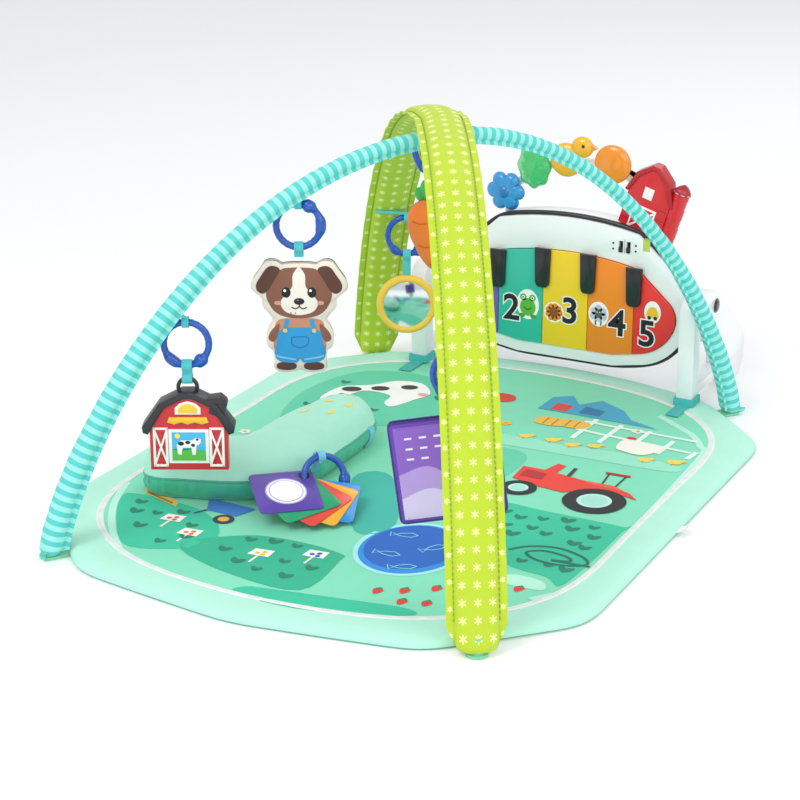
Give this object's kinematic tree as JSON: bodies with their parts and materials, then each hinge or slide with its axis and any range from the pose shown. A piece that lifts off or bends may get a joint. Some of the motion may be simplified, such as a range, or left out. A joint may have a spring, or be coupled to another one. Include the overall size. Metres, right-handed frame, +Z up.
{
  "type": "activity play gym",
  "caption": "Padded farm-print baby mat with two crossed cloth toy arches, hanging link toys, a tummy pillow with picture cards and a tilting kick piano on legs.",
  "frame": {"origin": "on the floor under the middle of the mat", "axes": "+Y along the mat towards the piano, +Z up, +X across the mat"},
  "size_m": [0.698, 1.044, 0.463],
  "materials": {
    "mat_mint": "woven",
    "mat_fill": "soft",
    "mat_print": "printed woven",
    "white_piping": "piped",
    "socket_plastic": "moulded",
    "teal_webbing": "ribbed",
    "white_plastic": "satin",
    "rod_plastic": "moulded",
    "lime_cloth": "printed woven",
    "striped_cloth": "printed woven",
    "blue_plastic": "glossy",
    "red_plastic": "satin",
    "black_plastic": "satin",
    "picture_blue": "printed",
    "yellow_plastic": "satin",
    "plush_brown": "plush",
    "yellow_cloth": "soft",
    "mirror_film": "polished",
    "orange_rubber": "soft",
    "leaf_cloth": "soft",
    "book_cloth": "printed woven",
    "pillow_cloth": "soft",
    "sky_webbing": "ribbed",
    "card_purple": "laminated",
    "card_green": "laminated",
    "card_red": "laminated",
    "card_yellow": "laminated",
    "card_blue": "laminated",
    "key_1": "satin",
    "key_2": "satin",
    "key_3": "satin",
    "key_4": "satin",
    "key_5": "satin",
    "contact_rubber": "soft",
    "board_green": "coated",
    "speaker_black": "matte",
    "cell_steel": "satin",
    "light_lens": "translucent"
  },
  "bodies": {
    "mat": {"mat_backing": "mat_mint", "mat_wadding": "mat_fill", "mat_border": "mat_mint", "mat_print_panel": "mat_print", "mat_piping": "white_piping", "corner_sockets": "socket_plastic", "leg_straps": "teal_webbing", "piano_legs": "white_plastic"},
    "arches": {"arch_rods": "rod_plastic", "green_sleeve": "lime_cloth", "teal_sleeve": "striped_cloth", "arch_fittings": "socket_plastic", "sleeve_feet": "lime_cloth", "sleeve_loops": "teal_webbing"},
    "barn_ring": {"barn_ring": "blue_plastic"},
    "barn": {"barn_strap": "teal_webbing", "barn_body": "red_plastic", "barn_roof": "black_plastic", "barn_picture": "picture_blue", "barn_trim": "yellow_plastic"},
    "puppy_ring": {"puppy_ring": "blue_plastic"},
    "puppy": {"puppy_strap": "teal_webbing", "puppy_plush": "plush_brown"},
    "mirror_ring": {"mirror_ring": "blue_plastic"},
    "mirror": {"mirror_strap": "teal_webbing", "mirror_frame": "yellow_cloth", "mirror_disc": "mirror_film"},
    "carrot_ring": {"carrot_ring": "blue_plastic"},
    "carrot": {"carrot_top": "leaf_cloth", "carrot_root": "orange_rubber"},
    "book_ring": {"book_ring": "blue_plastic"},
    "book": {"book_front": "book_cloth"},
    "book_cover": {"book_back": "book_cloth"},
    "pillow": {"pillow": "pillow_cloth", "pillow_loops": "sky_webbing"},
    "card_ring": {"card_ring": "blue_plastic"},
    "card_purple": {"card_purple": "card_purple"},
    "card_green": {"card_green": "card_green"},
    "card_red": {"card_red": "card_red"},
    "card_yellow": {"card_yellow": "card_yellow"},
    "card_blue": {"card_blue": "card_blue"},
    "piano": {"piano_housing": "white_plastic", "piano_bezel": "white_plastic", "piano_rim": "black_plastic", "black_keys": "black_plastic", "key_contacts": "contact_rubber", "circuit_board": "board_green", "speaker": "speaker_black", "batteries": "cell_steel", "battery_door": "white_plastic", "light_caps": "light_lens"},
    "key_1": {"key_1": "key_1"},
    "key_2": {"key_2": "key_2"},
    "key_3": {"key_3": "key_3"},
    "key_4": {"key_4": "key_4"},
    "key_5": {"key_5": "key_5"},
    "mode_switch": {"mode_switch": "black_plastic"},
    "volume_switch": {"volume_switch": "black_plastic"},
    "release_button_left": {"release_button_left": "black_plastic"},
    "release_button_right": {"release_button_right": "black_plastic"}
  },
  "joints": [
    {"name": "arches_lift_out", "type": "slide", "parent": "mat", "child": "arches", "axis": [0, 0, 1], "range_m": [0, 0.04]},
    {"name": "barn_ring_swing", "type": "hinge", "parent": "arches", "child": "barn_ring", "pos_m": [-0.17016, -0.26677, 0.25566], "axis": [0.891, 0.454, 0], "range_deg": [-35, 45]},
    {"name": "barn_swing", "type": "hinge", "parent": "barn_ring", "child": "barn", "pos_m": [-0.17016, -0.26677, 0.20366], "axis": [0.891, 0.454, 0], "range_deg": [-35, 35]},
    {"name": "puppy_ring_swing", "type": "hinge", "parent": "arches", "child": "puppy_ring", "pos_m": [-0.08765, -0.14712, 0.37694], "axis": [0.891, 0.454, 0], "range_deg": [-20, 45]},
    {"name": "puppy_swing", "type": "hinge", "parent": "puppy_ring", "child": "puppy", "pos_m": [-0.08765, -0.14712, 0.32494], "axis": [0.891, 0.454, 0], "range_deg": [-35, 35]},
    {"name": "mirror_ring_swing", "type": "hinge", "parent": "arches", "child": "mirror_ring", "pos_m": [-0.16953, 0.29151, 0.24303], "axis": [0.891, 0.454, 0], "range_deg": [-45, 10]},
    {"name": "mirror_swing", "type": "hinge", "parent": "mirror_ring", "child": "mirror", "pos_m": [-0.16953, 0.29151, 0.19103], "axis": [0.891, 0.454, 0], "range_deg": [-35, 8]},
    {"name": "carrot_ring_swing", "type": "hinge", "parent": "arches", "child": "carrot_ring", "pos_m": [0.00252, 0.032, 0.43698], "axis": [0.891, 0.454, 0], "range_deg": [-3, 45]},
    {"name": "carrot_swing", "type": "hinge", "parent": "carrot_ring", "child": "carrot", "pos_m": [0.00252, 0.032, 0.38498], "axis": [0.891, 0.454, 0], "range_deg": [-35, 35]},
    {"name": "book_ring_swing", "type": "hinge", "parent": "arches", "child": "book_ring", "pos_m": [0.17877, -0.27359, 0.27739], "axis": [0.891, 0.454, 0], "range_deg": [-5, 45]},
    {"name": "book_swing", "type": "hinge", "parent": "book_ring", "child": "book", "pos_m": [0.17877, -0.27359, 0.22539], "axis": [0.891, 0.454, 0], "range_deg": [-5, 35]},
    {"name": "book_open", "type": "hinge", "parent": "book", "child": "book_cover", "pos_m": [0.11134, -0.30772, 0.19426], "axis": [-0.1163, -0.0593, 0.9914], "range_deg": [0, 120]},
    {"name": "pillow_lift_off", "type": "slide", "parent": "mat", "child": "pillow", "axis": [0, 0, 1], "range_m": [0, 0.04]},
    {"name": "card_ring_swing", "type": "hinge", "parent": "pillow", "child": "card_ring", "pos_m": [-0.06732, -0.13847, 0.06353], "axis": [0.6157, 0.788, 0], "range_deg": [-45, 0]},
    {"name": "card_purple_fan", "type": "hinge", "parent": "card_ring", "child": "card_purple", "pos_m": [-0.07617, -0.16376, 0.0451], "axis": [0.1711, -0.1711, 0.9703], "range_deg": [0, 70]},
    {"name": "card_green_fan", "type": "hinge", "parent": "card_ring", "child": "card_green", "pos_m": [-0.0757, -0.1646, 0.0432], "axis": [0.1711, -0.1711, 0.9703], "range_deg": [-21, 49]},
    {"name": "card_red_fan", "type": "hinge", "parent": "card_ring", "child": "card_red", "pos_m": [-0.07513, -0.16531, 0.0413], "axis": [0.1711, -0.1711, 0.9703], "range_deg": [-39, 31]},
    {"name": "card_yellow_fan", "type": "hinge", "parent": "card_ring", "child": "card_yellow", "pos_m": [-0.07445, -0.16588, 0.0394], "axis": [0.1711, -0.1711, 0.9703], "range_deg": [-55, 15]},
    {"name": "card_blue_fan", "type": "hinge", "parent": "card_ring", "child": "card_blue", "pos_m": [-0.07367, -0.16632, 0.0375], "axis": [0.1711, -0.1711, 0.9703], "range_deg": [-69, 1]},
    {"name": "piano_tilt", "type": "hinge", "parent": "mat", "child": "piano", "pos_m": [0.016, 0.441, 0.132], "axis": [-1, 0, 0], "range_deg": [0, 90]},
    {"name": "key_1_press", "type": "hinge", "parent": "piano", "child": "key_1", "pos_m": [0.016, 0.4155, 0.1876], "axis": [1, 0, 0], "range_deg": [0, 2], "stiffness_Nm_per_rad": 3, "springref_deg": -0.57},
    {"name": "key_2_press", "type": "hinge", "parent": "piano", "child": "key_2", "pos_m": [0.016, 0.4155, 0.1876], "axis": [1, 0, 0], "range_deg": [0, 2], "stiffness_Nm_per_rad": 3, "springref_deg": -0.57},
    {"name": "key_3_press", "type": "hinge", "parent": "piano", "child": "key_3", "pos_m": [0.016, 0.4155, 0.1876], "axis": [1, 0, 0], "range_deg": [0, 2], "stiffness_Nm_per_rad": 3, "springref_deg": -0.57},
    {"name": "key_4_press", "type": "hinge", "parent": "piano", "child": "key_4", "pos_m": [0.016, 0.4155, 0.1876], "axis": [1, 0, 0], "range_deg": [0, 2], "stiffness_Nm_per_rad": 3, "springref_deg": -0.57},
    {"name": "key_5_press", "type": "hinge", "parent": "piano", "child": "key_5", "pos_m": [0.016, 0.4155, 0.1876], "axis": [1, 0, 0], "range_deg": [0, 2], "stiffness_Nm_per_rad": 3, "springref_deg": -0.57},
    {"name": "mode_switch_slide", "type": "slide", "parent": "piano", "child": "mode_switch", "axis": [0, 0, 1], "range_m": [0, 0.007]},
    {"name": "volume_switch_slide", "type": "slide", "parent": "piano", "child": "volume_switch", "axis": [0, 0, 1], "range_m": [0, 0.007]},
    {"name": "release_button_left_press", "type": "slide", "parent": "mat", "child": "release_button_left", "axis": [1, 0, 0], "range_m": [0, 0.003], "stiffness_N_per_m": 400},
    {"name": "release_button_right_press", "type": "slide", "parent": "mat", "child": "release_button_right", "axis": [-1, 0, 0], "range_m": [0, 0.003], "stiffness_N_per_m": 400}
  ]
}
